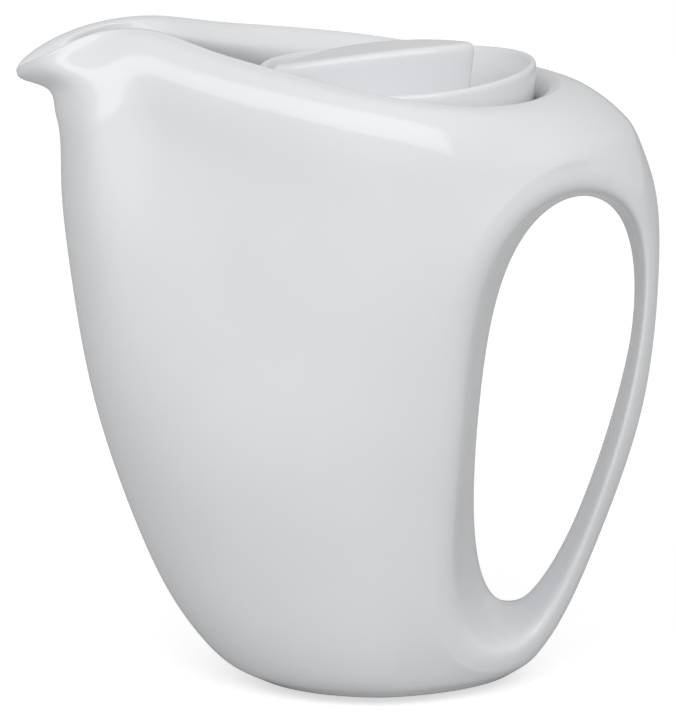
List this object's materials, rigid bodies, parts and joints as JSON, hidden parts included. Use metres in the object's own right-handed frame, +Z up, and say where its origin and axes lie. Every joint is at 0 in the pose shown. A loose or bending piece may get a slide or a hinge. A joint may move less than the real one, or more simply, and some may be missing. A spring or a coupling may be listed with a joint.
{
  "type": "lidded pitcher",
  "caption": "Rounded ceramic pitcher with a pinched pouring lip, a handle grown around a finger hole, and a dished lift-off lid with a leaf-shaped grip.",
  "frame": {"origin": "on the table, halfway between the spout's tip and the handle's back, on the middle plane", "axes": "+Z up, -X toward the spout, +X toward the handle, Y across the pot"},
  "size_m": [0.192, 0.121, 0.2006],
  "materials": {
    "glaze": "gloss",
    "bare_clay": "matte"
  },
  "bodies": {
    "pot": {"body": "glaze", "handle": "glaze", "foot_ring": "bare_clay", "lid_seat": "glaze"},
    "cover": {"lid": "glaze", "lid_grip": "glaze"}
  },
  "joints": [
    {"name": "lid_lift", "type": "slide", "parent": "pot", "child": "cover", "axis": [0, 0, 1], "range_m": [0, 0.06]}
  ]
}
